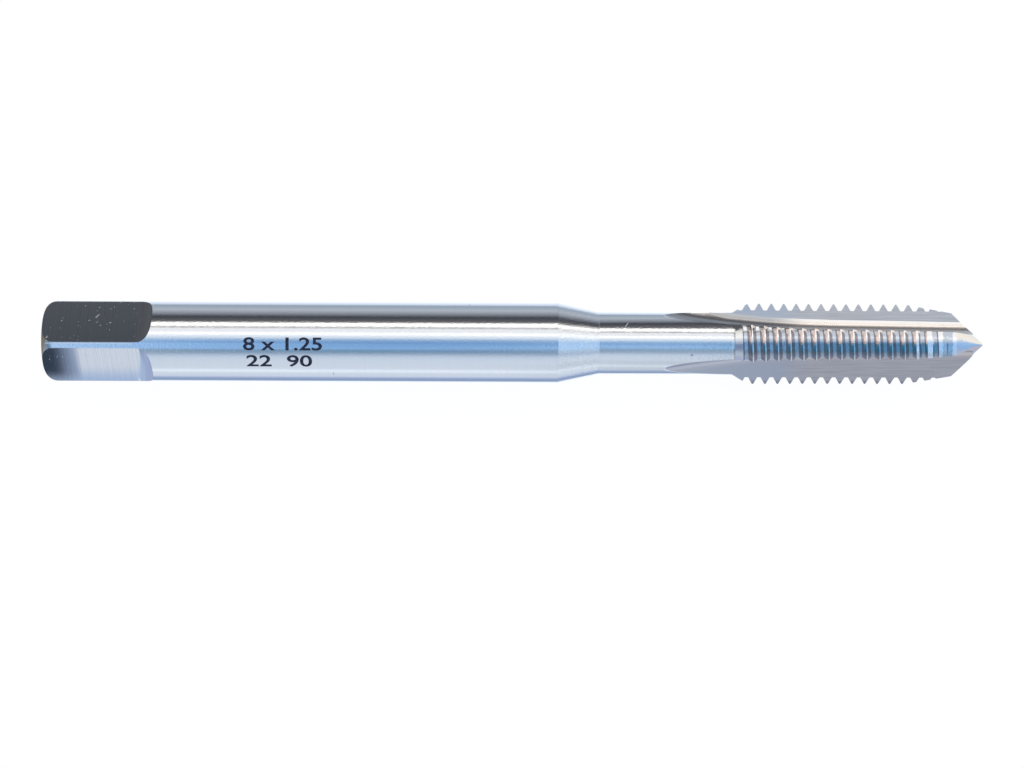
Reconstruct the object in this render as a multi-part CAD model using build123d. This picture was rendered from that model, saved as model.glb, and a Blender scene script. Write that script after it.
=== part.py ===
# A solid machine tap for M8 x 1.25 threads, lying on its shank.
# Millimetres. +X runs from the drive end to the point, +Z is up as the tap lies,
# and the origin is on the tap's axis at the drive end.
#
# The tap is drawn standing on its drive end: r is the distance from the axis, z the
# distance from the drive end, and angles turn about the axis from the side that will
# face +Y toward the side that will face up. The last step lays it down.

import math
import os

from build123d import *

os.makedirs("parts", exist_ok=True)

# Driving dimensions: the shank and its square
shank_diameter = 8.0
shank_length = 51.2  # drive end to the shoulder
end_rounding = 1.3
across_flats = 6.05
flat_length = 9.5  # drive end to where the flats begin to rise
flat_runout_radius = 1.7
square_angle = 51.9  # direction that the first flat faces

# Driving dimensions: the shoulder and the neck
neck_diameter = 6.2
shoulder_length = 4.1

# Driving dimensions: the thread
body_length = 90.6  # drive end to the foot of the point
thread_length = 22.0
pitch = 1.25
crest_diameter = 8.06
root_diameter = 6.7
root_flat = 0.34
flank_angle = 30.0  # each flank from the plane across the axis
rear_chamfer_angle = 30.0
rear_fillet_radius = 0.6
lead_length = 4.6
front_diameter = 6.4
first_crest = 1.48  # past the start of the thread, on the +Y side
groove_span = 80.0  # angle that each groove is cut over, a little wider than a land

# Driving dimensions: the point
point_half_angle = 45.0
point_flat_diameter = 0.3

# Driving dimensions: the flutes, seen along the axis from a line through a flute's middle
flute_count = 3
land_angle = 92.0  # direction of the middle of the uppermost land
core_radius = 1.15  # at the foot of the point
core_taper = 1.0
bottom_radius = 1.4
bottom_offset = 0.43  # toward the cutting edge
rake_line_angle = 36.0
heel_line_angle = 51.9
full_depth_from = 78.3  # from here back to the neck the flute rises
wheel_radius = 95.0

# Worked out from the dimensions above
shank_radius = shank_diameter / 2
neck_radius = neck_diameter / 2
crest_radius = crest_diameter / 2
root_radius = root_diameter / 2
front_radius = front_diameter / 2
point_flat_radius = point_flat_diameter / 2
neck_start = shank_length + shoulder_length
thread_start = body_length - thread_length
lead_start = body_length - lead_length
rear_chamfer_length = (crest_radius - neck_radius) / math.tan(math.radians(rear_chamfer_angle))
point_length = (front_radius - point_flat_radius) / math.tan(math.radians(point_half_angle))
overall_length = body_length + point_length
clear = 1.0  # how far a cutting tool reaches past the metal


def turned_blank():
    """The bar turned to its outline: shank, shoulder, neck, thread blank, lead and point."""
    arc_middle = end_rounding * (1 - math.cos(math.radians(45)))
    flat_end = (shank_radius - end_rounding, 0)
    rounding_middle = (shank_radius - arc_middle, arc_middle)
    rounding_end = (shank_radius, end_rounding)
    outline = Curve() + [
        Line((0, 0), flat_end),
        ThreePointArc(flat_end, rounding_middle, rounding_end),
        Polyline(
            rounding_end,
            (shank_radius, shank_length),
            (neck_radius, neck_start),
            (neck_radius, thread_start),
            (crest_radius, thread_start + rear_chamfer_length),
            (crest_radius, lead_start),
            (front_radius, body_length),
            (point_flat_radius, overall_length),
            (0, overall_length),
            (0, 0),
        ),
    ]
    blank = revolve(Plane.XZ * make_face(outline), Axis.Z)
    inner_corner = blank.edges().filter_by(GeomType.CIRCLE).sort_by_distance((0, 0, thread_start))[0]
    return fillet(inner_corner, rear_fillet_radius)


def land_groove():
    """One land's share of one turn of the 60 degree groove between the crests."""
    outer_radius = crest_radius + 0.06
    half_root = root_flat / 2
    half_top = half_root + (outer_radius - root_radius) * math.tan(math.radians(flank_angle))
    section = Polyline(
        (root_radius, -half_root),
        (outer_radius, -half_top),
        (outer_radius, half_top),
        (root_radius, half_root),
        close=True,
    )
    path = Helix(pitch, pitch * groove_span / 360, root_radius)
    return sweep(Plane.XZ * make_face(section), path=path, is_frenet=True)


def thread_grooves():
    """The right-hand groove: it moves one pitch toward the point in each full turn."""
    groove = land_groove()
    first_groove = thread_start + first_crest - 1.5 * pitch
    grooves = []
    for i in range(flute_count):
        angle = (land_angle + i * 360 / flute_count - groove_span / 2) % 360
        along = first_groove + pitch * angle / 360
        while along < body_length:
            grooves.append(Pos(0, 0, along) * Rot(0, 0, angle) * groove)
            along += pitch
    return grooves


def flute_outline():
    """The flute's section: a straight rake face, a round bottom and a straight heel side."""
    rake = math.radians(rake_line_angle)
    heel = math.radians(heel_line_angle)
    core = core_radius + (body_length - full_depth_from) * math.tan(math.radians(core_taper))
    centre_out = math.sqrt((core + bottom_radius) ** 2 - bottom_offset**2)
    reach = crest_radius + clear
    # The cutting edge is on the side of falling angle, so offsets toward it are negative here.
    centre = Vector(centre_out, -bottom_offset)
    rake_touch = centre + Vector(-math.sin(rake), -math.cos(rake)) * bottom_radius
    heel_touch = centre + Vector(-math.sin(heel), math.cos(heel)) * bottom_radius
    bottom = centre + Vector(-bottom_radius, 0)
    rake_end = rake_touch + Vector(math.cos(rake), -math.sin(rake)) * reach
    heel_end = heel_touch + Vector(math.cos(heel), math.sin(heel)) * reach
    outline = Curve() + [
        Line(rake_end, rake_touch),
        ThreePointArc(rake_touch, bottom, heel_touch),
        Polyline(heel_touch, heel_end, rake_end),
    ]
    return core, make_face(outline)


def flute():
    """One flute as the grinding wheel leaves it: straight to the point, rising to the neck."""
    core, section = flute_outline()
    straight = extrude(section, overall_length - full_depth_from + clear)
    lift = crest_radius + clear - core
    rise_angle = math.degrees(math.acos(1 - lift / wheel_radius))
    wheel_axis = Axis((core + wheel_radius, 0, 0), (0, 1, 0))
    rising = revolve(section, wheel_axis, -rise_angle)
    tilt = Pos(core, 0, 0) * Rot(0, -core_taper, 0) * Pos(-core, 0, 0)
    return Pos(0, 0, full_depth_from) * tilt * (straight + rising)


def flat():
    """One flat of the square, rising in a small curve where it meets the round shank."""
    face_at = across_flats / 2
    rise_top = face_at + flat_runout_radius
    turn = math.radians(45)
    middle = (
        rise_top - flat_runout_radius * math.cos(turn),
        flat_length + flat_runout_radius * math.sin(turn),
    )
    outline = Curve() + [
        Line((face_at, -clear), (face_at, flat_length)),
        ThreePointArc((face_at, flat_length), middle, (rise_top, flat_length + flat_runout_radius)),
        Polyline((rise_top, flat_length + flat_runout_radius), (rise_top, -clear), (face_at, -clear)),
    ]
    return extrude(Plane.XZ * make_face(outline), shank_diameter, both=True)


def tap():
    body = turned_blank()
    for i in range(flute_count):
        body -= Rot(0, 0, land_angle + (i + 0.5) * 360 / flute_count) * flute()
    body -= thread_grooves()
    for i in range(4):
        body -= Rot(0, 0, square_angle + i * 90) * flat()
    lying = Plane(origin=(0, 0, 0), x_dir=(0, 1, 0), z_dir=(1, 0, 0))
    return lying * body


thread_tap = tap()
thread_tap.label = "thread_tap"
export_step(thread_tap, "parts/thread_tap.step")
print("overall length", round(overall_length, 2), "volume", round(thread_tap.volume, 1))
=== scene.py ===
# %% [markdown]
# # A machine tap, M8 x 1.25
#
# A tap is a hard steel screw that cuts threads into a drilled hole. It is one bar of steel:
# a round shank with a square end, a slim neck, and a threaded part with three straight
# grooves, called flutes, that ends in a point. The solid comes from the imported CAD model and
# is kept as it is. Blender's work here is the steel: ground bright on the round parts, milled
# on the square, ground dull in the flutes, and mirroring a studio of pale and dark bands.

# %% Load the frame
import math

import bpy
from mathutils import Matrix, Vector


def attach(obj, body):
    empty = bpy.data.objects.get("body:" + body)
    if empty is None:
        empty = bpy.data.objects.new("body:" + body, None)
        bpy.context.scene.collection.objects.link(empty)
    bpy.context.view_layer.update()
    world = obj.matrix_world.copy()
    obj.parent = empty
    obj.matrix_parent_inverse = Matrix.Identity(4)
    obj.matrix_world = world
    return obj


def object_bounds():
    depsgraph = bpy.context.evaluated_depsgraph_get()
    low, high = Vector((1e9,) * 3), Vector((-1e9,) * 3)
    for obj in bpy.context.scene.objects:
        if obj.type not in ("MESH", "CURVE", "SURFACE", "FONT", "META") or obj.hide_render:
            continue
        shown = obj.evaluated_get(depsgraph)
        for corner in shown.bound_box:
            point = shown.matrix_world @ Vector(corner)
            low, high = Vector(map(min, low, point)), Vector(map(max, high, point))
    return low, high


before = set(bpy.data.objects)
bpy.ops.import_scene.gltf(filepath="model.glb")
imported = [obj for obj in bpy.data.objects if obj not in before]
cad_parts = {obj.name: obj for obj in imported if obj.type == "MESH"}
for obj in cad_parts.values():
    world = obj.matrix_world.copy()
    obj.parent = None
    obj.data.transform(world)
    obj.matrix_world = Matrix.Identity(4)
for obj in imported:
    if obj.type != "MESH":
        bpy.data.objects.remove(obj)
cad_low, cad_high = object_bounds()
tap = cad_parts["thread_tap"]
print("tap", tap.name, "with", len(tap.data.polygons), "faces")

# %% [markdown]
# ## Units and the tap's own measures
#
# Blender works in metres and a tap is drawn in millimetres, so one named factor joins them.
# The tap's axis is the X axis, from the drive end at 0 to the point. The outline's measures
# are needed below, because the steel has a different finish on each part of it, and a
# shader can tell the parts apart by where a point lies.

# %% Measures
MM = 0.001

SHANK_RADIUS = 4.0
END_ROUNDING = 1.3
FLAT_RUNOUT_END = 11.3
SHOULDER_START = 51.2
NECK_START = 55.3
NECK_RADIUS = 3.1
THREAD_START = 68.6
REAR_CHAMFER_ANGLE = 30.0
CREST_RADIUS = 4.03
ROOT_RADIUS = 3.35
LEAD_START = 86.0
BODY_END = 90.6
FRONT_RADIUS = 3.2

print("tap length", round((cad_high.x - cad_low.x) / MM, 2), "mm")

# %% [markdown]
# ## The camera
#
# The photograph looks straight down on the tap from about 285 mm above its axis, and shows
# ten pixels for each millimetre at that height. The focal length follows from those two and
# from the picture's width. The tap lies a quarter of a degree off level in the picture, so
# the camera is rolled by that much.

# %% Camera
PICTURE_WIDTH = 1024
PICTURE_HEIGHT = 768
PIXELS_PER_MM = 10.0
CAMERA_HEIGHT = 285.0
SENSOR_WIDTH = 36.0
DRIVE_END_PIXEL = 45.5
AXIS_PIXEL = 342.7
CAMERA_ROLL = 0.255

camera_data = bpy.data.cameras.new("camera")
camera = bpy.data.objects.new("camera", camera_data)
bpy.context.scene.collection.objects.link(camera)
bpy.context.scene.camera = camera
camera_data.sensor_width = SENSOR_WIDTH
camera_data.lens = SENSOR_WIDTH * CAMERA_HEIGHT * PIXELS_PER_MM / PICTURE_WIDTH

camera_x = (PICTURE_WIDTH / 2 - DRIVE_END_PIXEL) / PIXELS_PER_MM
camera_y = (AXIS_PIXEL - PICTURE_HEIGHT / 2) / PIXELS_PER_MM
camera_place = Matrix.Translation((camera_x * MM, camera_y * MM, CAMERA_HEIGHT * MM))
camera.matrix_world = camera_place @ Matrix.Rotation(math.radians(CAMERA_ROLL), 4, "Z")
bpy.context.scene.view_settings.view_transform = "Standard"
print("camera lens", round(camera_data.lens, 1), "mm")

# %% [markdown]
# ## Small helpers for node trees
#
# A shader is a small program made of nodes. Most of the nodes below only do sums, so one
# helper adds a node and feeds it, and a few short ones name the sums that come back often.
# An input may be a number or the output of another node.

# %% Node helpers
def feed(tree, socket, value):
    """Sets a socket to a number or links it to another node's output."""
    if isinstance(value, bpy.types.NodeSocket):
        tree.links.new(value, socket)
    else:
        socket.default_value = value


def calc(tree, operation, *values):
    """One Math node."""
    node = tree.nodes.new("ShaderNodeMath")
    node.operation = operation
    for i in range(len(values)):
        feed(tree, node.inputs[i], values[i])
    return node.outputs[0]


def above(tree, value, limit):
    """1 where the value is over the limit, else 0."""
    return calc(tree, "GREATER_THAN", value, limit)


def below(tree, value, limit):
    """1 where the value is under the limit, else 0."""
    return calc(tree, "LESS_THAN", value, limit)


def both(tree, *masks):
    """1 where all the masks are 1."""
    result = masks[0]
    for mask in masks[1:]:
        result = calc(tree, "MULTIPLY", result, mask)
    return result


def either(tree, *masks):
    """1 where any of the masks is 1."""
    result = masks[0]
    for mask in masks[1:]:
        result = calc(tree, "MAXIMUM", result, mask)
    return result


def opposite(tree, mask):
    """1 where the mask is 0."""
    return calc(tree, "SUBTRACT", 1.0, mask)


def fade(tree, value, start, end, low=0.0, high=1.0):
    """Goes smoothly from low to high while the value goes from start to end."""
    node = tree.nodes.new("ShaderNodeMapRange")
    node.interpolation_type = "SMOOTHSTEP"
    names = ("Value", "From Min", "From Max", "To Min", "To Max")
    for name, given in zip(names, (value, start, end, low, high)):
        feed(tree, node.inputs[name], given)
    return node.outputs["Result"]


def blend(tree, share, first, second):
    """A colour between two, by a share from 0 to 1."""
    node = tree.nodes.new("ShaderNodeMix")
    node.data_type = "RGBA"
    feed(tree, node.inputs["Factor"], share)
    for name, given in (("A", first), ("B", second)):
        socket = [s for s in node.inputs if s.name == name and s.type == "RGBA"][0]
        feed(tree, socket, given)
    return [s for s in node.outputs if s.type == "RGBA"][0]


def mix_value(tree, share, first, second):
    """A number between two, by a share from 0 to 1."""
    node = tree.nodes.new("ShaderNodeMix")
    feed(tree, node.inputs["Factor"], share)
    feed(tree, node.inputs[2], first)
    feed(tree, node.inputs[3], second)
    return node.outputs[0]


def colour_ramp(tree, share, stops):
    """A ramp through (place, (red, green, blue)) stops."""
    node = tree.nodes.new("ShaderNodeValToRGB")
    elements = node.color_ramp.elements
    elements[0].position = stops[0][0]
    elements[0].color = (*stops[0][1], 1)
    elements[1].position = stops[-1][0]
    elements[1].color = (*stops[-1][1], 1)
    for place, colour in stops[1:-1]:
        elements.new(place).color = (*colour, 1)
    feed(tree, node.inputs["Fac"], share)
    return node.outputs["Color"]


print("helpers ready")

# %% [markdown]
# ## The studio that the steel mirrors
#
# Bright steel has hardly a colour of its own: what the eye sees on it is the room. On a round
# bar, each direction of the room shows as a band along the bar, so the bands in the
# photograph tell what stood around it: a white panel above, a patch of blue sky beside the
# camera, a pale table below, and a dark gap behind the panel. The world shader holds that
# room as a ramp over the angle about the tap's axis, from straight up toward the far side.

# %% Bands of the studio
# Angle in degrees from straight up toward +Y, and the light's colour there
STUDIO_BANDS = (
    (-180, (1.10, 1.15, 1.20)),
    (-160, (0.95, 1.02, 1.12)),
    (-149, (0.30, 0.40, 0.60)),
    (-139, (0.27, 0.36, 0.56)),
    (-127, (0.40, 0.49, 0.71)),
    (-119, (0.65, 0.74, 0.91)),
    (-104, (0.71, 0.78, 0.87)),
    (-93, (0.91, 1.00, 1.14)),
    (-84, (0.70, 0.77, 0.89)),
    (-54, (0.65, 0.74, 0.86)),
    (-44, (0.57, 0.68, 0.84)),
    (-34, (0.33, 0.43, 0.57)),
    (-27, (0.21, 0.32, 0.44)),
    (-15, (0.32, 0.56, 0.92)),
    (-3, (0.20, 0.385, 0.71)),
    (5, (0.38, 0.56, 0.80)),
    (10, (0.72, 0.82, 0.95)),
    (17, (0.90, 0.96, 1.04)),
    (22, (1.40, 1.42, 1.45)),
    (28, (0.90, 0.92, 0.96)),
    (37, (1.00, 1.01, 1.05)),
    (41.5, (0.22, 0.22, 0.22)),
    (46, (1.60, 1.56, 1.50)),
    (53, (1.60, 1.54, 1.48)),
    (58, (0.14, 0.14, 0.15)),
    (76, (0.051, 0.059, 0.074)),
    (90, (0.30, 0.32, 0.37)),
    (104, (0.48, 0.53, 0.60)),
    (128, (0.32, 0.39, 0.49)),
    (138, (0.72, 0.82, 0.98)),
    (158, (0.95, 1.02, 1.12)),
    (180, (1.10, 1.15, 1.20)),
)
ramp_stops = [((angle + 180) / 360, colour) for angle, colour in STUDIO_BANDS]
print(len(ramp_stops), "bands")

# %% World tree
world = bpy.data.worlds.new("studio")
bpy.context.scene.world = world
world.use_nodes = True
sky = world.node_tree
sky.nodes.clear()

direction = sky.nodes.new("ShaderNodeSeparateXYZ")
sky.links.new(sky.nodes.new("ShaderNodeTexCoord").outputs["Generated"], direction.inputs[0])
to_front, to_far, to_top = direction.outputs

angle = calc(sky, "ARCTAN2", to_far, to_top)
turn = calc(sky, "ADD", calc(sky, "DIVIDE", angle, 2 * math.pi), 0.5)
room = colour_ramp(sky, turn, ramp_stops)
print("room ready")

# %% [markdown]
# The room isn't the same all along the bar. A ray that the bar mirrors leans a little toward
# the point or back from it, and how far it leans tells which part of the bar it comes from.
# The patch of sky is pale past the drive end, deeper over the middle and teal over the
# thread. The slopes of the shoulder and of the lead look farther toward the point and see it
# brighter again. On the near side the neck and the shoulder mirror a grey panel, and the
# flutes a lilac one. Each of these is a patch of colour over the bands, with soft edges.

# %% Patches along the bar
# How far a mirrored ray leans toward the point where a patch starts, is full, fades and ends
PAST_DRIVE_END = (-0.34, -0.24, -0.165, -0.13)
OVER_MIDDLE = (-0.12, -0.06, 0.01, 0.03)
OVER_NECK = (0.017, 0.033, 0.075, 0.091)
OVER_THREAD = (0.083, 0.093, 0.28, 0.36)
OVER_SHOULDER = (0.28, 0.40, 0.46, 0.50)
OVER_LEAD = (0.46, 0.50, 0.60, 0.68)
BESIDE_FLUTES = (0.08, 0.12, 0.20, 0.24)
# Angles of the room in degrees, as in the bands, and half the width of the soft edge
WHOLE_SKY = (-33, 8, 3)
DEEPEST_SKY = (-25, 5, 4)
GREY_SIDE = (-135, -68, 6)
LILAC_SIDE = (-80, -44, 4)
PALE_SKY = (0.82, 1.00, 1.22, 1)
DEEP_SKY = (0.10, 0.26, 0.52, 1)
TEAL_SKY = (0.11, 0.30, 0.50, 1)
LEAD_SKY = (0.28, 0.58, 1.00, 1)
GREY_PANEL = (0.42, 0.49, 0.56, 1)
LILAC_PANEL = (0.35, 0.385, 0.57, 1)
# Stretch of the bar, angles, how much of the bands the patch covers, and its colour
PATCHES = (
    (PAST_DRIVE_END, WHOLE_SKY, 0.4, PALE_SKY),
    (OVER_MIDDLE, WHOLE_SKY, 0.3, DEEP_SKY),
    (OVER_THREAD, DEEPEST_SKY, 0.85, TEAL_SKY),
    (OVER_SHOULDER, WHOLE_SKY, 0.5, PALE_SKY),
    (OVER_LEAD, WHOLE_SKY, 0.7, LEAD_SKY),
    (OVER_NECK, WHOLE_SKY, 0.16, PALE_SKY),
    (OVER_NECK, GREY_SIDE, 0.4, GREY_PANEL),
    (OVER_SHOULDER, GREY_SIDE, 0.5, GREY_PANEL),
    (BESIDE_FLUTES, LILAC_SIDE, 1.0, LILAC_PANEL),
)


def between(value, start, full_from, full_to, end):
    """1 in the middle of a range and 0 outside it, with soft ends."""
    return both(sky, fade(sky, value, start, full_from), fade(sky, value, end, full_to))


def across_room(start, end, soft):
    """1 between two angles of the room, in degrees, and 0 outside them."""
    edges = (start - soft, start + soft, end - soft, end + soft)
    return between(turn, *[edge / 360 + 0.5 for edge in edges])


for stretch, angles, share, colour in PATCHES:
    patch = both(sky, between(to_front, *stretch), across_room(*angles), share)
    room = blend(sky, patch, room, colour)
print(len(PATCHES), "patches")

# %% [markdown]
# The steepest slopes look past the ends of the room. The thread's flanks look high, where it
# is cream or pale blue on the far side and deep blue on the near side. The chamfer behind the
# thread looks at a part of its own. The cone of the point and the curves at the ends of the
# flats look level. Each end is a ramp from the near side, 0, to the far side, 1.

# %% High ends of the room
HIGH_FRONT = (
    (0.0, (0.55, 0.58, 0.66)),
    (0.22, (0.45, 0.50, 0.60)),
    (0.30, (0.12, 0.25, 0.40)),
    (0.35, (0.03, 0.26, 0.50)),
    (0.47, (0.03, 0.38, 0.75)),
    (0.52, (0.50, 0.60, 0.62)),
    (0.575, (1.75, 1.45, 1.30)),
    (0.63, (2.30, 2.05, 1.95)),
    (0.69, (1.70, 1.60, 1.45)),
    (1.0, (1.30, 1.20, 1.10)),
)
HIGH_REAR = (
    (0.0, (0.55, 0.58, 0.66)),
    (0.22, (0.45, 0.50, 0.60)),
    (0.30, (0.10, 0.25, 0.40)),
    (0.35, (0.02, 0.25, 0.50)),
    (0.465, (0.03, 0.29, 0.64)),
    (0.52, (0.42, 0.68, 0.90)),
    (0.575, (0.77, 1.02, 1.27)),
    (0.63, (0.80, 1.13, 1.50)),
    (0.69, (0.80, 0.97, 1.20)),
    (1.0, (0.80, 0.85, 0.92)),
)
REAR_SLOPE = (
    (0.0, (0.45, 0.52, 0.62)),
    (0.28, (0.42, 0.50, 0.64)),
    (0.38, (0.19, 0.26, 0.42)),
    (0.47, (0.17, 0.25, 0.42)),
    (0.56, (0.58, 0.64, 0.75)),
    (0.65, (1.00, 1.02, 1.05)),
    (0.74, (0.82, 0.82, 0.83)),
    (0.80, (0.64, 0.64, 0.60)),
    (0.87, (0.26, 0.26, 0.25)),
    (1.0, (0.25, 0.25, 0.25)),
)
print("high ends", len(HIGH_FRONT), len(HIGH_REAR), len(REAR_SLOPE), "stops")

# %% Level ends of the room
LEVEL_FRONT = (
    (0.0, (0.42, 0.42, 0.50)),
    (0.42, (0.46, 0.48, 0.60)),
    (0.47, (0.26, 0.46, 0.80)),
    (0.53, (0.34, 0.56, 0.88)),
    (0.58, (0.95, 0.92, 0.86)),
    (1.0, (0.75, 0.72, 0.68)),
)
LEVEL_REAR = (
    (0.0, (0.36, 0.44, 0.68)),
    (0.35, (0.36, 0.44, 0.68)),
    (0.45, (0.24, 0.23, 0.20)),
    (0.55, (0.20, 0.19, 0.17)),
    (0.65, (0.10, 0.11, 0.12)),
    (1.0, (0.08, 0.085, 0.10)),
)
print("level ends", len(LEVEL_FRONT), len(LEVEL_REAR), "stops")

# %% Ends joined to the room
# Where each end begins and is full, as the mirrored ray's lean toward the point or upward
FRONT_FROM = (0.6, 0.78)
REAR_LEVEL_FROM = (-0.17, -0.30)
REAR_SLOPE_WITHIN = (-0.89, -0.85, -0.76, -0.72)
REAR_HIGH_FROM = (-0.85, -0.89)
HIGH_FROM = (0.26, 0.34)
# Toward the drive end the room is dimmer, but not close to straight above
DIM_FROM = (-0.3, -0.5)
DIM_BELOW = (0.9, 0.8)
DIM_SHARE = 0.55
DIM_END = (0.10, 0.11, 0.13, 1)

dim_end = both(sky, fade(sky, to_front, *DIM_FROM), fade(sky, to_top, *DIM_BELOW), DIM_SHARE)
room = blend(sky, dim_end, room, DIM_END)

near_to_far = calc(sky, "ADD", calc(sky, "MULTIPLY", to_far, 0.5), 0.5)
is_high = fade(sky, to_top, *HIGH_FROM)
is_level = opposite(sky, is_high)
is_front = fade(sky, to_front, *FRONT_FROM)
ends = (
    (is_front, is_high, HIGH_FRONT),
    (is_front, is_level, LEVEL_FRONT),
    (between(to_front, *REAR_SLOPE_WITHIN), is_high, REAR_SLOPE),
    (fade(sky, to_front, *REAR_HIGH_FROM), is_high, HIGH_REAR),
    (fade(sky, to_front, *REAR_LEVEL_FROM), is_level, LEVEL_REAR),
)
for lengthwise, upward, stops in ends:
    room = blend(sky, both(sky, lengthwise, upward), room, colour_ramp(sky, near_to_far, stops))
print(len(ends), "ends")

# %% [markdown]
# The camera sees a plain white ground behind the tap, and the steel sees the room. A Light
# Path node tells the two kinds of ray apart.

# %% World output
WHITE = (1, 1, 1, 1)

seen_by_steel = sky.nodes.new("ShaderNodeBackground")
feed(sky, seen_by_steel.inputs["Color"], room)
seen_by_camera = sky.nodes.new("ShaderNodeBackground")
seen_by_camera.inputs["Color"].default_value = WHITE
light_path = sky.nodes.new("ShaderNodeLightPath")
either_room = sky.nodes.new("ShaderNodeMixShader")
sky.links.new(light_path.outputs["Is Camera Ray"], either_room.inputs[0])
sky.links.new(seen_by_steel.outputs[0], either_room.inputs[1])
sky.links.new(seen_by_camera.outputs[0], either_room.inputs[2])
world_output = sky.nodes.new("ShaderNodeOutputWorld")
sky.links.new(either_room.outputs[0], world_output.inputs[0])
print("world nodes", len(sky.nodes))

# %% [markdown]
# ## The floor and a dark card
#
# The photograph's ground is plain white. A plane under the tap catches its soft shadow. Most
# of the plane's light toward the camera is its own and the rest is lit by the studio, and the
# two add up to white, so only the shadow shows. The steel mirrors the room of bands above
# and not the plane, so the plane is hidden from mirrored rays.
#
# The lower flat of the square mirrors the table close by. A dark thing lies there, left of a
# line that leans a little. Its side along the line is blue, it fades toward the tap, and the
# table turns bluer that way too. A card that only mirrored rays can see stands in for the
# table and the thing, with soft steps between their colours.

# %% Floor
FLOOR_SIZE = 4.0
FLOOR_OWN_LIGHT = 0.96
FLOOR_COLOUR = (0.085, 0.085, 0.085, 1)


def plane(name, size_x, size_y, middle):
    """A flat stage piece, with its place and size kept in its mesh."""
    bpy.ops.object.select_all(action="DESELECT")
    bpy.ops.mesh.primitive_plane_add(size=1, location=middle)
    made = bpy.context.object
    made.name = name
    made.scale = (size_x, size_y, 1)
    bpy.ops.object.transform_apply(location=True, rotation=False, scale=True)
    return made


floor = plane("floor", FLOOR_SIZE, FLOOR_SIZE, (0, 0, cad_low.z))
floor.visible_glossy = False

floor_white = bpy.data.materials.new("floor_white")
floor_white.use_nodes = True
ground = floor_white.node_tree
ground.nodes.clear()
lit = ground.nodes.new("ShaderNodeBsdfDiffuse")
lit.inputs["Color"].default_value = FLOOR_COLOUR
own = ground.nodes.new("ShaderNodeEmission")
own.inputs["Color"].default_value = WHITE
floor_path = ground.nodes.new("ShaderNodeLightPath")
camera_sees = floor_path.outputs["Is Camera Ray"]
feed(ground, own.inputs["Strength"], calc(ground, "MULTIPLY", camera_sees, FLOOR_OWN_LIGHT))
added = ground.nodes.new("ShaderNodeAddShader")
ground.links.new(lit.outputs[0], added.inputs[0])
ground.links.new(own.outputs[0], added.inputs[1])
floor_output = ground.nodes.new("ShaderNodeOutputMaterial")
ground.links.new(added.outputs[0], floor_output.inputs[0])
floor.data.materials.append(floor_white)
print("floor at", round(cad_low.z / MM, 2), "mm")

# %% Card beside the drive end
CARD_LEFT = -25.0
CARD_RIGHT = 7.2
CARD_NEAR = -45.0
CARD_FAR = -13.0
CARD_LIFT = 0.1
TABLE_PALE = (0.64, 0.71, 0.84, 1)
TABLE_BLUE = (0.39, 0.52, 0.77, 1)
TABLE_BLUE_FROM = (-26.5, -19.5)
DARK_THING = (0.032, 0.05, 0.08, 1)
DARK_THING_SIDE = (0.29, 0.37, 0.56, 1)
# The line's lean, and the soft steps in mm: at the line, along the side and away from the tap
LINE_LEAN = 0.197
THING_EDGE = (5.4, 4.7)
THING_SIDE = (2.2, 5.2)
THING_FADES = (-18.0, -23.5)
SHARE_NEAR_TAP = 0.3

card = plane(
    "table_card",
    (CARD_RIGHT - CARD_LEFT) * MM,
    (CARD_FAR - CARD_NEAR) * MM,
    (
        (CARD_LEFT + CARD_RIGHT) / 2 * MM,
        (CARD_NEAR + CARD_FAR) / 2 * MM,
        cad_low.z + CARD_LIFT * MM,
    ),
)
card.visible_camera = False
card.visible_diffuse = False
card.visible_shadow = False

table_light = bpy.data.materials.new("table_light")
table_light.use_nodes = True
table = table_light.node_tree
table.nodes.clear()
card_place = table.nodes.new("ShaderNodeSeparateXYZ")
table.links.new(table.nodes.new("ShaderNodeTexCoord").outputs["Object"], card_place.inputs[0])
card_x = calc(table, "DIVIDE", card_place.outputs[0], MM)
card_y = calc(table, "DIVIDE", card_place.outputs[1], MM)
from_line = calc(table, "SUBTRACT", card_x, calc(table, "MULTIPLY", card_y, LINE_LEAN))
left_of_line = fade(table, from_line, *THING_EDGE)
away_from_tap = fade(table, card_y, *THING_FADES, SHARE_NEAR_TAP, 1.0)
thing_colour = blend(table, fade(table, from_line, *THING_SIDE), DARK_THING, DARK_THING_SIDE)
table_colour = blend(table, fade(table, card_y, *TABLE_BLUE_FROM), TABLE_PALE, TABLE_BLUE)
thing_share = both(table, left_of_line, away_from_tap)
table_colour = blend(table, thing_share, table_colour, thing_colour)
glow = table.nodes.new("ShaderNodeEmission")
feed(table, glow.inputs["Color"], table_colour)
table_output = table.nodes.new("ShaderNodeOutputMaterial")
table.links.new(glow.outputs[0], table_output.inputs[0])
card.data.materials.append(table_light)
print("card beside the drive end, nodes", len(table.nodes))

# %% [markdown]
# ## Telling the steel's surfaces apart
#
# The tap is one solid with one material, but its surfaces were made by different tools. The
# shader works out which one it is on from the point's place: how far along the axis it is,
# how far out from the axis, and which way the surface faces there. A point well inside the
# outline of the turned bar can only be on a surface that was cut later: a flat of the
# square, a flute, or the groove of the thread.

# %% Places on the tap
steel = bpy.data.materials.new("tap_steel")
steel.use_nodes = True
tree = steel.node_tree
coords = tree.nodes.new("ShaderNodeTexCoord")


def parts_of(vector):
    """The x, y and z of a vector, as three outputs."""
    node = tree.nodes.new("ShaderNodeSeparateXYZ")
    tree.links.new(vector, node.inputs[0])
    return node.outputs


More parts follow.
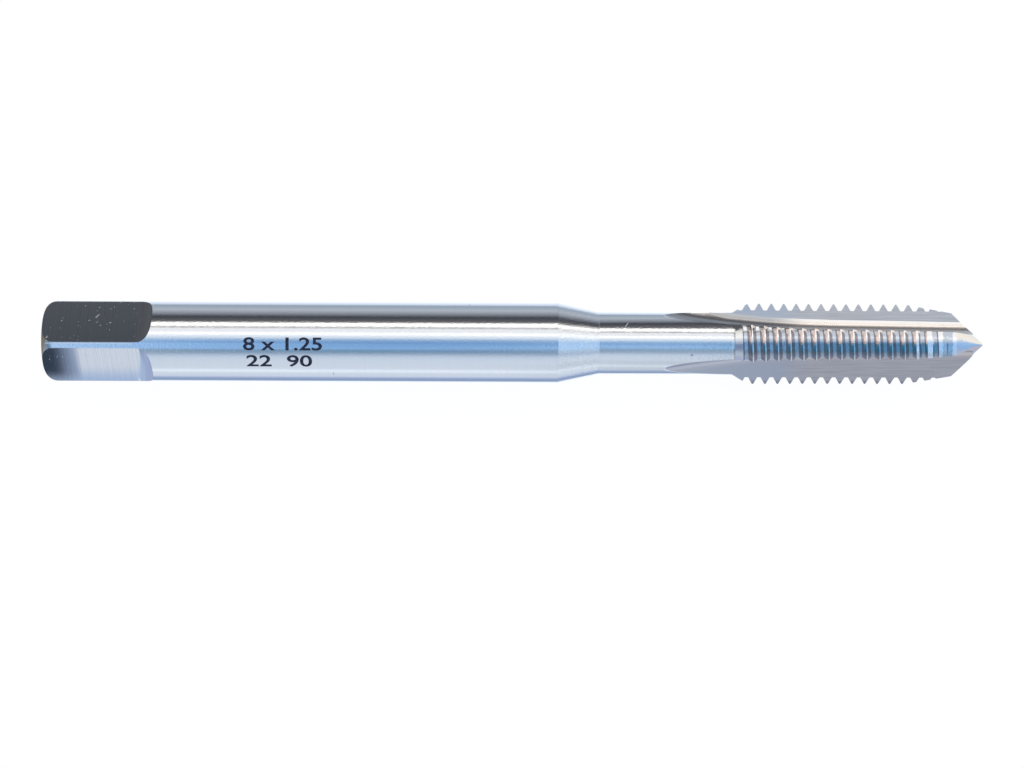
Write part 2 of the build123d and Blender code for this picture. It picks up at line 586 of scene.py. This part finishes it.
place_x, place_y, place_z = parts_of(coords.outputs["Object"])
facing_x, facing_y, facing_z = parts_of(coords.outputs["Normal"])
along = calc(tree, "DIVIDE", place_x, MM)
across = calc(tree, "DIVIDE", place_y, MM)
up = calc(tree, "DIVIDE", place_z, MM)
out_squared = calc(tree, "ADD", calc(tree, "POWER", across, 2.0), calc(tree, "POWER", up, 2.0))
out = calc(tree, "SQRT", out_squared)
outward_y = calc(tree, "MULTIPLY", across, facing_y)
outward_z = calc(tree, "MULTIPLY", up, facing_z)
facing_out = calc(tree, "DIVIDE", calc(tree, "ADD", outward_y, outward_z), out)
lean = calc(tree, "ABSOLUTE", facing_x)
print("places ready")

# %% [markdown]
# The bar's outline in the threaded part is the lowest of three lines: the chamfer that rises
# from the neck, the level crests, and the lead that falls toward the point. The mesh is made
# of small flat faces that lie a little inside the true surface, so a margin allows for them.

# %% Masks for the finishes
MARGIN = 0.03
ROOT_MARGIN = 0.09
ROOT_FACING = 0.96
FLANK_LEAN = 0.6
FLUTES_FROM = NECK_START + 1.0
LEAD_SLOPE = (CREST_RADIUS - FRONT_RADIUS) / (BODY_END - LEAD_START)

rise = math.tan(math.radians(REAR_CHAMFER_ANGLE))
from_thread = calc(tree, "MAXIMUM", calc(tree, "SUBTRACT", along, THREAD_START), 0.0)
chamfer_line = calc(tree, "ADD", calc(tree, "MULTIPLY", from_thread, rise), NECK_RADIUS)
from_lead = calc(tree, "MAXIMUM", calc(tree, "SUBTRACT", along, LEAD_START), 0.0)
lead_line = calc(tree, "SUBTRACT", CREST_RADIUS, calc(tree, "MULTIPLY", from_lead, LEAD_SLOPE))
bar_radius = calc(tree, "MINIMUM", chamfer_line, lead_line)
inside_bar = below(tree, out, calc(tree, "SUBTRACT", bar_radius, MARGIN))

on_square = both(tree, below(tree, along, FLAT_RUNOUT_END), below(tree, out, SHANK_RADIUS - MARGIN))
not_rounding = either(tree, above(tree, along, END_ROUNDING), below(tree, lean, MARGIN))
flats = both(tree, on_square, not_rounding)

threaded = above(tree, along, THREAD_START)
flanks = both(tree, threaded, above(tree, lean, FLANK_LEAN), below(tree, along, BODY_END))
at_root = below(tree, calc(tree, "ABSOLUTE", calc(tree, "SUBTRACT", out, ROOT_RADIUS)), ROOT_MARGIN)
roots = both(tree, threaded, at_root, above(tree, facing_out, ROOT_FACING))
fluted_part = above(tree, along, FLUTES_FROM)
cut_by_wheel = both(tree, fluted_part, inside_bar, below(tree, lean, FLANK_LEAN))
flutes = both(tree, cut_by_wheel, opposite(tree, roots))
thread = both(tree, threaded, opposite(tree, flutes))
shoulder = both(tree, above(tree, along, SHOULDER_START), below(tree, along, NECK_START))
print("masks ready")

# %% [markdown]
# ## Patterns left by the tools
#
# Grinding and milling leave fine lines that run the way the tool moved: around the bar on
# the shank, along the tap in the flutes, and straight across on the flats. A noise texture
# gives such lines when its coordinates are stretched: squeezed one way and long the other.

# %% Tool marks
def noise(scale_x, scale_y, scale_z, detail=3.0, roughness=0.6):
    """Noise over the tap's own millimetres, with so many cells per millimetre on each axis."""
    joined = tree.nodes.new("ShaderNodeCombineXYZ")
    for i, (place, scale) in enumerate(((along, scale_x), (across, scale_y), (up, scale_z))):
        feed(tree, joined.inputs[i], calc(tree, "MULTIPLY", place, scale))
    node = tree.nodes.new("ShaderNodeTexNoise")
    node.inputs["Scale"].default_value = 1.0
    node.inputs["Detail"].default_value = detail
    node.inputs["Roughness"].default_value = roughness
    tree.links.new(joined.outputs[0], node.inputs["Vector"])
    return node.outputs[0]


round_lines = noise(9.0, 0.25, 0.25)
long_lines = noise(0.2, 7.0, 7.0)
cross_lines = noise(5.0, 0.01, 0.01, detail=4.0, roughness=0.7)
speckle = noise(4.5, 6.0, 6.0, detail=2.0)
patches = noise(0.35, 0.6, 0.6, detail=2.0)
specks = noise(3.5, 3.5, 3.5, detail=1.0)
print("patterns ready")

# %% [markdown]
# A few single marks come on top: small scratches, which scatter light, small dark pits, and
# a painted highlight along the edge between the upper flat and the shank, where the milling left a
# thin burr.

# %% Scratches and pits
# Place along and across in mm, half length, half width, and the turn in degrees from +X
SCRATCHES = (
    (5.45, 2.44, 0.28, 0.065, 42),
    (4.70, 2.0, 0.07, 0.06, 0),
    (6.80, 1.78, 0.09, 0.06, 0),
    (1.95, 1.95, 0.07, 0.05, 20),
    (0.68, 0.30, 0.14, 0.09, 60),
    (58.0, 1.78, 0.32, 0.05, 55),
)
PITS = (
    (28.95, -3.18, 0.12, 0.05, 80),
    (64.45, -1.20, 0.16, 0.10, 10),
    (42.4, 3.72, 0.09, 0.05, 0),
    (78.9, 2.25, 0.12, 0.05, 85),
)
SPOT_EDGE = (1.4, 0.6)


def spot(x, y, half_length, half_width, turn_degrees):
    """1 inside a small ellipse seen from above, 0 outside it, with a soft edge."""
    cosine = math.cos(math.radians(turn_degrees))
    sine = math.sin(math.radians(turn_degrees))
    from_x = calc(tree, "SUBTRACT", along, x)
    from_y = calc(tree, "SUBTRACT", across, y)
    x_lengthwise = calc(tree, "MULTIPLY", from_x, cosine)
    y_lengthwise = calc(tree, "MULTIPLY", from_y, sine)
    x_sideways = calc(tree, "MULTIPLY", from_x, sine)
    y_sideways = calc(tree, "MULTIPLY", from_y, cosine)
    lengthwise = calc(tree, "ADD", x_lengthwise, y_lengthwise)
    sideways = calc(tree, "SUBTRACT", y_sideways, x_sideways)
    length_part = calc(tree, "POWER", calc(tree, "DIVIDE", lengthwise, half_length), 2.0)
    width_part = calc(tree, "POWER", calc(tree, "DIVIDE", sideways, half_width), 2.0)
    return fade(tree, calc(tree, "ADD", length_part, width_part), *SPOT_EDGE)


upper_side = above(tree, up, 0.0)
scratches = both(tree, upper_side, either(tree, *[spot(*facts) for facts in SCRATCHES]))
pits = both(tree, upper_side, either(tree, *[spot(*facts) for facts in PITS]))
print("scratches", len(SCRATCHES), "pits", len(PITS))

# %% Painted highlight on the edge of the upper flat
EDGE_START = 0.5
EDGE_END = 9.2
EDGE_NEAR = -0.38
EDGE_FAR = -0.26

# A white line along the edge between the upper flat and the shank: a painted highlight
edge_width = both(tree, above(tree, across, EDGE_NEAR), below(tree, across, EDGE_FAR))
edge_length = both(tree, above(tree, along, EDGE_START), below(tree, along, EDGE_END))
edge_painted_highlight = both(tree, upper_side, edge_width, edge_length, opposite(tree, flats))
print("edge length", round(EDGE_END - EDGE_START, 1), "mm")

# %% [markdown]
# ## The steel
#
# One Principled shader serves all the surfaces, with the colour, the roughness and the tool
# marks chosen by the masks. The ground parts are nearly mirrors. The shoulder has a fine
# speckle, and the rim of the drive end is duller and warmer. The flutes are duller too, with
# a lighter colour where they face the far side, a painted highlight, and darker colours at
# the end where they run out into the neck and on the tips of the threads on the near side,
# painted shade. The threads are bright but small, so their light comes from many mirrorings
# between two flanks, which is why they look deep and dark. Painted light adds to that: the
# crests get a lighter colour than the shank, a painted highlight, and the flanks and roots
# darker ones, painted shade, with a blue tint on the roots that is a painted reflection.

# %% Ground and milled steel
GROUND_STEEL = (0.86, 0.87, 0.88, 1)
GROUND_STREAK = (0.845, 0.855, 0.865, 1)
SHOULDER_STEEL = (0.90, 0.90, 0.89, 1)
SHOULDER_SPECKLE = (0.83, 0.85, 0.88, 1)
FLAT_STEEL = (0.92, 0.91, 0.88, 1)
FLAT_STREAK = (0.76, 0.77, 0.80, 1)
# Where on the noise the second colour starts and is full
GROUND_STREAKS = (0.4, 0.7)
SHOULDER_SPECKLES = (0.4, 0.6)
FLAT_STREAKS = (0.4, 0.75)

ground_streaks = fade(tree, round_lines, *GROUND_STREAKS)
shoulder_speckles = fade(tree, speckle, *SHOULDER_SPECKLES)
flat_streaks = fade(tree, cross_lines, *FLAT_STREAKS)
ground_colour = blend(tree, ground_streaks, GROUND_STEEL, GROUND_STREAK)
shoulder_colour = blend(tree, shoulder_speckles, SHOULDER_STEEL, SHOULDER_SPECKLE)
ground_colour = blend(tree, shoulder, ground_colour, shoulder_colour)
flat_colour = blend(tree, flat_streaks, FLAT_STEEL, FLAT_STREAK)
print("ground and milled steel ready")

# %% Fluted steel
FLUTE_STEEL = (0.69, 0.62, 0.575, 1)
FLUTE_STREAK = (0.57, 0.515, 0.485, 1)
FLUTE_PAINTED_HIGHLIGHT = (1.00, 0.93, 0.86, 1)
RUNOUT_PAINTED_SHADE = (0.59, 0.585, 0.61, 1)
RUNOUT_FAR_SIDE_SHADE = (0.52, 0.51, 0.51, 1)
TIP_PAINTED_SHADE = (0.30, 0.28, 0.32, 1)
FLUTE_STREAKS = (0.35, 0.7)
# How far the surface faces the far side where the flutes' painted highlight, and in the run-out a
# darker painted shade, starts and is full
FAR_SIDE_FACING = (0.05, 0.18)
# Places along the tap where the run-out's painted shade starts and is full
RUNOUT_FROM = (77.0, 72.0)
# How far out, on the near side, the painted shade on the tips of the threads starts
TIP_OUT = 3.5

flute_streaks = fade(tree, long_lines, *FLUTE_STREAKS)
flute_colour = blend(tree, flute_streaks, FLUTE_STEEL, FLUTE_STREAK)
# Painted highlight: flute faces turned to the far side get a lighter, cream colour
facing_far_side = fade(tree, facing_y, *FAR_SIDE_FACING)
flute_colour = blend(tree, facing_far_side, flute_colour, FLUTE_PAINTED_HIGHLIGHT)
# Painted shade: where the flutes run out into the neck they get darker colours, darkest where they
# face the far side
runout_shaded_colour = blend(tree, facing_far_side, RUNOUT_PAINTED_SHADE, RUNOUT_FAR_SIDE_SHADE)
flute_colour = blend(tree, fade(tree, along, *RUNOUT_FROM), flute_colour, runout_shaded_colour)
# Painted shade on the tips of the threads on the near side
shaded_near_tips = both(tree, fade(tree, out, TIP_OUT, CREST_RADIUS), below(tree, across, -NECK_RADIUS))
flute_colour = blend(tree, shaded_near_tips, flute_colour, TIP_PAINTED_SHADE)
print("fluted steel ready")

# %% Steel colour
# The crest colour, lighter than the shank's steel, is a painted highlight; the darker flank colour
# and the darker root colour are painted shade, and the root's blue tint is a painted reflection
CREST_PAINTED_HIGHLIGHT = (0.95, 0.93, 0.91, 1)
ROOT_PAINTED_SHADE = (0.58, 0.62, 0.67, 1)
FLANK_PAINTED_SHADE = (0.66, 0.62, 0.62, 1)
RIM_STEEL = (0.84, 0.76, 0.67, 1)
RIM_LENGTH = 0.9
PIT_STEEL = (0.20, 0.20, 0.24, 1)
PIT_SHARE = 0.5

at_rim = both(tree, below(tree, along, RIM_LENGTH), opposite(tree, flats))
colour = blend(tree, flats, ground_colour, flat_colour)
colour = blend(tree, at_rim, colour, RIM_STEEL)
# Painted highlight on the thread, painted shade on its roots and flanks
colour = blend(tree, thread, colour, CREST_PAINTED_HIGHLIGHT)
colour = blend(tree, roots, colour, ROOT_PAINTED_SHADE)
colour = blend(tree, flanks, colour, FLANK_PAINTED_SHADE)
colour = blend(tree, flutes, colour, flute_colour)
# Painted highlight: the edge line is white
colour = blend(tree, edge_painted_highlight, colour, WHITE)
colour = blend(tree, calc(tree, "MULTIPLY", pits, PIT_SHARE), colour, PIT_STEEL)
print("colour ready")

# %% Steel roughness
GROUND_ROUGHNESS = 0.09
SHOULDER_ROUGHNESS = 0.12
FLAT_ROUGHNESS = 0.07
FLUTE_ROUGHNESS = 0.28
THREAD_ROUGHNESS = 0.05
RIM_ROUGHNESS = 0.25
SCRATCH_ROUGHNESS = 0.5
PATCHINESS = 0.04

rough = mix_value(tree, shoulder, GROUND_ROUGHNESS, SHOULDER_ROUGHNESS)
rough = mix_value(tree, at_rim, rough, RIM_ROUGHNESS)
rough = mix_value(tree, flats, rough, FLAT_ROUGHNESS)
rough = mix_value(tree, thread, rough, THREAD_ROUGHNESS)
rough = mix_value(tree, flutes, rough, FLUTE_ROUGHNESS)
unevenness = calc(tree, "MULTIPLY", calc(tree, "SUBTRACT", patches, 0.5), PATCHINESS)
rough = calc(tree, "ADD", rough, unevenness)
rough = mix_value(tree, either(tree, scratches, edge_painted_highlight), rough, SCRATCH_ROUGHNESS)
print("roughness ready")

# %% Steel relief
RELIEF = 0.001 * MM
SPECKLE_HEIGHT = 7.0
SHOULDER_SPECKLE_HEIGHT = 14.0
ROUND_LINE_HEIGHT = 0.5
FLUTE_LINE_HEIGHT = 6.0
FLAT_LINE_HEIGHT = 0.5
DENT_HEIGHT = 25.0
DENTS_FROM = (0.735, 0.765)

speckle_size = mix_value(tree, shoulder, SPECKLE_HEIGHT, SHOULDER_SPECKLE_HEIGHT)
speckle_height = calc(tree, "MULTIPLY", speckle, speckle_size)
round_height = calc(tree, "MULTIPLY", round_lines, ROUND_LINE_HEIGHT)
ground_height = calc(tree, "ADD", speckle_height, round_height)
dents = fade(tree, specks, *DENTS_FROM, 0.0, DENT_HEIGHT)
flat_height = calc(tree, "ADD", calc(tree, "MULTIPLY", cross_lines, FLAT_LINE_HEIGHT), dents)
flute_height = calc(tree, "MULTIPLY", long_lines, FLUTE_LINE_HEIGHT)
height = mix_value(tree, flats, ground_height, flat_height)
height = mix_value(tree, flutes, height, flute_height)

relief = tree.nodes.new("ShaderNodeBump")
relief.inputs["Strength"].default_value = 1.0
relief.inputs["Distance"].default_value = RELIEF
feed(tree, relief.inputs["Height"], height)

shader = tree.nodes["Principled BSDF"]
shader.inputs["Metallic"].default_value = 1.0
feed(tree, shader.inputs["Base Color"], colour)
feed(tree, shader.inputs["Roughness"], rough)
feed(tree, shader.inputs["Normal"], relief.outputs[0])
tap.material_slots[0].material = steel
print("steel nodes", len(tree.nodes))

# %% [markdown]
# ## Numbers on the shank
#
# A tap carries its thread size on the shank, burnt in with a laser as thin dark strokes. The
# marks here are plain numbers: the thread's diameter and pitch, and under them the lengths
# of the thread and of the whole tap. A text object is typed flat and turned into a mesh. It
# is cut into narrow strips, because a wide flat face would dip under the round shank, and
# then each point is laid on the shank: its height in the text becomes an angle around it.

# %% Burnt ink
INK_DARK = (0.012, 0.015, 0.035, 1)
INK_PALE = (0.05, 0.055, 0.09, 1)
INK_GRAINS = 4.0
INK_PALE_FROM = (0.4, 0.7)

mark_ink = bpy.data.materials.new("burnt_mark")
mark_ink.use_nodes = True
ink_tree = mark_ink.node_tree
ink_place = ink_tree.nodes.new("ShaderNodeTexCoord")
ink_noise = ink_tree.nodes.new("ShaderNodeTexNoise")
ink_noise.inputs["Scale"].default_value = INK_GRAINS / MM
ink_tree.links.new(ink_place.outputs["Object"], ink_noise.inputs["Vector"])
paleness = fade(ink_tree, ink_noise.outputs[0], *INK_PALE_FROM)
ink_shader = ink_tree.nodes["Principled BSDF"]
feed(ink_tree, ink_shader.inputs["Base Color"], blend(ink_tree, paleness, INK_DARK, INK_PALE))
ink_shader.inputs["Roughness"].default_value = 0.55
ink_shader.inputs["Metallic"].default_value = 0.3
print("ink nodes", len(ink_tree.nodes))

# %% Number marks
MARK_LIFT = 0.004
MARK_HEIGHT = 1.32
MARK_BOLDNESS = 0.018
STRIP_HEIGHT = 0.12
SIZE_MARK = {"name": "size_mark", "text": "8 x 1.25", "left": 20.1, "width": 7.8, "turn": -4.0}
LENGTH_MARK = {"name": "length_mark", "text": "22  90", "left": 20.4, "width": 6.5, "turn": -29.5}


def number_mark(name, text, left, width, turn):
    """Text wrapped on the shank: it starts at left, and turn is its angle from straight up."""
    bpy.ops.object.select_all(action="DESELECT")
    bpy.ops.object.text_add(location=(0, 0, 0))
    mark = bpy.context.object
    mark.name = name
    mark.data.body = text
    mark.data.resolution_u = 4
    mark.data.offset = MARK_BOLDNESS
    bpy.ops.object.convert(target="MESH")
    mark = bpy.context.object
    corners = [v.co for v in mark.data.vertices]
    low_x, high_x = min(c.x for c in corners), max(c.x for c in corners)
    low_y, high_y = min(c.y for c in corners), max(c.y for c in corners)
    strips = int(MARK_HEIGHT / STRIP_HEIGHT)
    bpy.ops.object.mode_set(mode="EDIT")
    for i in range(1, strips):
        bpy.ops.mesh.select_all(action="SELECT")
        cut_at = low_y + (high_y - low_y) * i / strips
        bpy.ops.mesh.bisect(plane_co=(0, cut_at, 0), plane_no=(0, 1, 0))
    bpy.ops.object.mode_set(mode="OBJECT")
    radius = SHANK_RADIUS + MARK_LIFT
    for vertex in mark.data.vertices:
        along_bar = left + (vertex.co.x - low_x) / (high_x - low_x) * width
        height_in_text = ((vertex.co.y - low_y) / (high_y - low_y) - 0.5) * MARK_HEIGHT
        around = math.radians(turn) + height_in_text / radius
        vertex.co = (
            along_bar * MM,
            radius * math.sin(around) * MM,
            radius * math.cos(around) * MM,
        )
    mark.data.materials.clear()
    mark.data.materials.append(mark_ink)
    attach(mark, "root")
    return mark


for facts in (SIZE_MARK, LENGTH_MARK):
    made = number_mark(**facts)
    print(made.name, "has", len(made.data.polygons), "faces")
